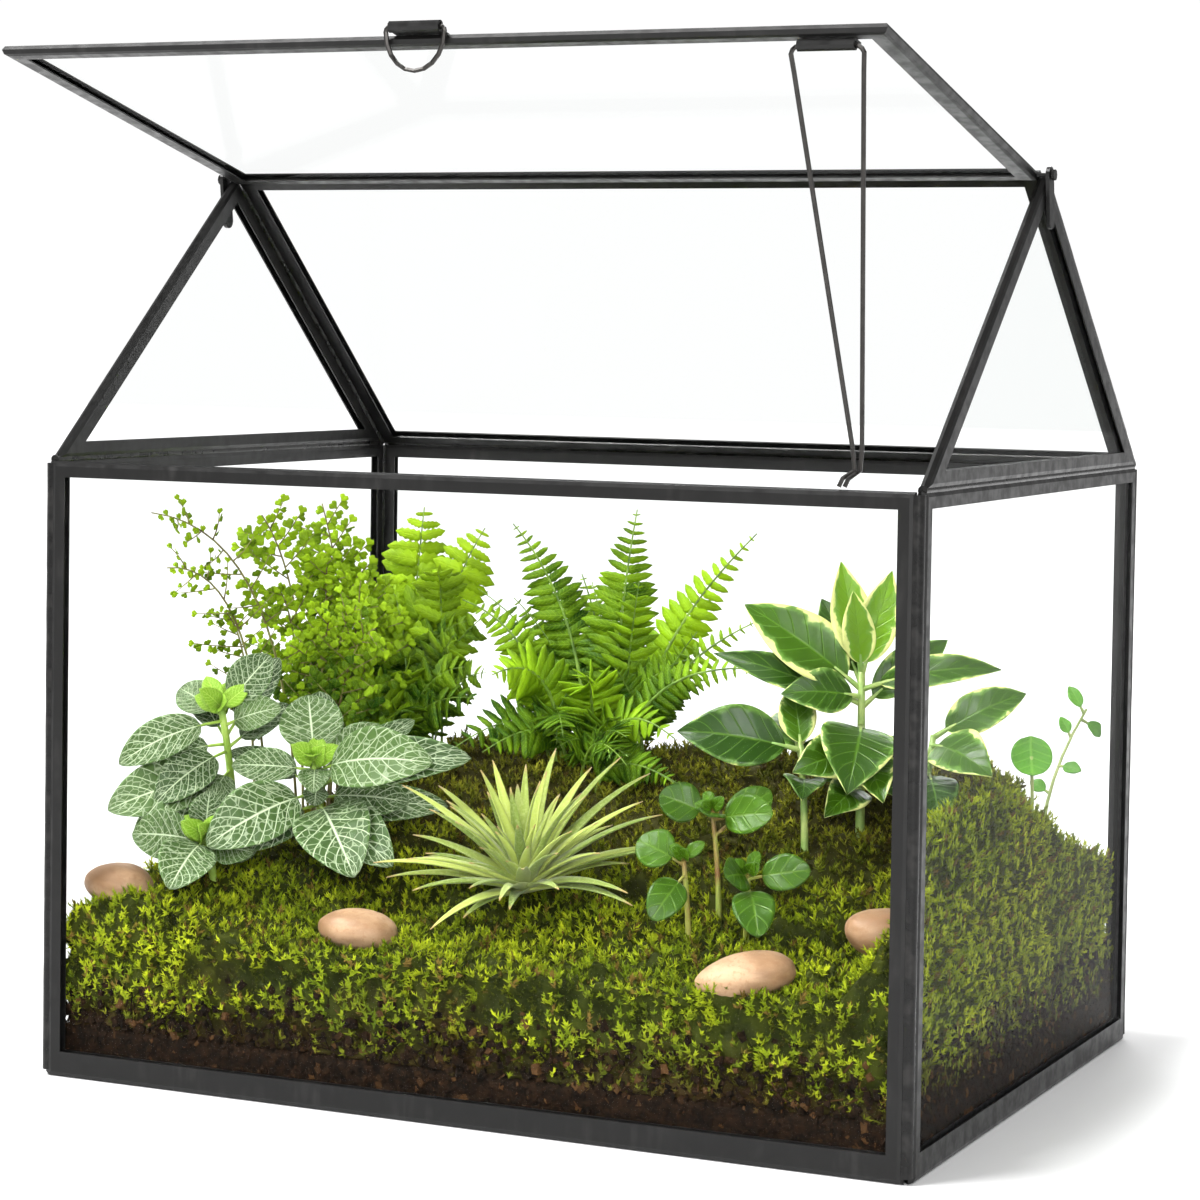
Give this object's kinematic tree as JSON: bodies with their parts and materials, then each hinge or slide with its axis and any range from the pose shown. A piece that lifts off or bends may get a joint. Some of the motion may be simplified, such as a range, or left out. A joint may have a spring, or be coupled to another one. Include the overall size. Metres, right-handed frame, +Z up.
{
  "type": "glass plant terrarium",
  "caption": "House-shaped glass terrarium with black metal strips, a propped roof pane as lid, a pull ring, and ferns, leafy plants, an air plant, moss and pebbles on soil.",
  "frame": {"origin": "centre of the underside, where the house stands", "axes": "+X to the right along the front, -Y out of the front, +Z up"},
  "size_m": [0.2548, 0.217, 0.28],
  "materials": {
    "black_strip": "satin",
    "dark_wire": "satin",
    "clear_glass": "gloss",
    "soil": "matte",
    "moss": "matte",
    "pebble": "satin",
    "nerve_leaf": "satin",
    "air_plant_leaf": "matte",
    "radiator_leaf": "satin",
    "variegated_leaf": "satin",
    "fern_leaf": "satin",
    "maidenhair_leaf": "satin"
  },
  "bodies": {
    "house": {"front_wall_strip": "black_strip", "front_wall_glass": "clear_glass", "right_wall_strip": "black_strip", "right_wall_glass": "clear_glass", "back_wall_strip": "black_strip", "back_wall_glass": "clear_glass", "left_wall_strip": "black_strip", "left_wall_glass": "clear_glass", "right_gable_strip": "black_strip", "right_gable_glass": "clear_glass", "left_gable_strip": "black_strip", "left_gable_glass": "clear_glass", "back_roof_strip": "black_strip", "back_roof_glass": "clear_glass", "right_hinge_strap": "black_strip", "left_hinge_strap": "black_strip", "nerve_plant_back": "nerve_leaf", "nerve_plant_middle": "nerve_leaf", "nerve_plant_front": "nerve_leaf", "air_plant": "air_plant_leaf", "radiator_plant_upper": "radiator_leaf", "radiator_plant_left": "radiator_leaf", "radiator_plant_right": "radiator_leaf", "variegated_stem_main": "variegated_leaf", "variegated_stem_left": "variegated_leaf", "variegated_stem_right": "variegated_leaf", "penny_leaf": "radiator_leaf", "runner": "variegated_leaf", "sword_fern_tall": "fern_leaf", "sword_fern_back_left": "fern_leaf", "sword_fern_back_right": "fern_leaf", "sword_fern_centre": "fern_leaf", "sword_fern_right": "fern_leaf", "sword_fern_right_low": "fern_leaf", "sword_fern_left": "fern_leaf", "sword_fern_front_left": "fern_leaf", "sword_fern_front_right": "fern_leaf", "sword_fern_front_low": "fern_leaf", "broad_fern_tall": "fern_leaf", "broad_fern_right": "fern_leaf", "broad_fern_low": "fern_leaf", "maidenhair_far_left": "maidenhair_leaf", "maidenhair_left": "maidenhair_leaf", "maidenhair_upper": "maidenhair_leaf", "maidenhair_right": "maidenhair_leaf", "maidenhair_low": "maidenhair_leaf", "floor_plate": "black_strip", "soil": "soil", "pebble_left": "pebble", "pebble_middle": "pebble", "pebble_front": "pebble", "pebble_right": "pebble", "moss": "moss"},
    "lid": {"lid_strip": "black_strip", "lid_glass": "clear_glass", "pull_ring_clip": "black_strip", "prop_clip": "black_strip"},
    "ring": {"pull_ring": "dark_wire"},
    "prop": {"prop_wire": "dark_wire"}
  },
  "joints": [
    {"name": "lid_hinge", "type": "hinge", "parent": "house", "child": "lid", "pos_m": [0, -0.00155, 0.24716], "axis": [1, 0, 0], "range_deg": [0, 54.3]},
    {"name": "ring_swing", "type": "hinge", "parent": "lid", "child": "ring", "pos_m": [0, -0.12055, 0.2785], "axis": [1, 0, 0], "range_deg": [-54.4, 0]},
    {"name": "prop_swing", "type": "hinge", "parent": "lid", "child": "prop", "pos_m": [0.107, -0.11804, 0.27183], "axis": [1, 0, 0], "range_deg": [0, 58.8]}
  ],
  "couplings": [
    {"joint": "ring_swing", "follows": "lid_hinge", "ratio": -1},
    {"joint": "prop_swing", "follows": "lid_hinge", "ratio": 1.08}
  ]
}
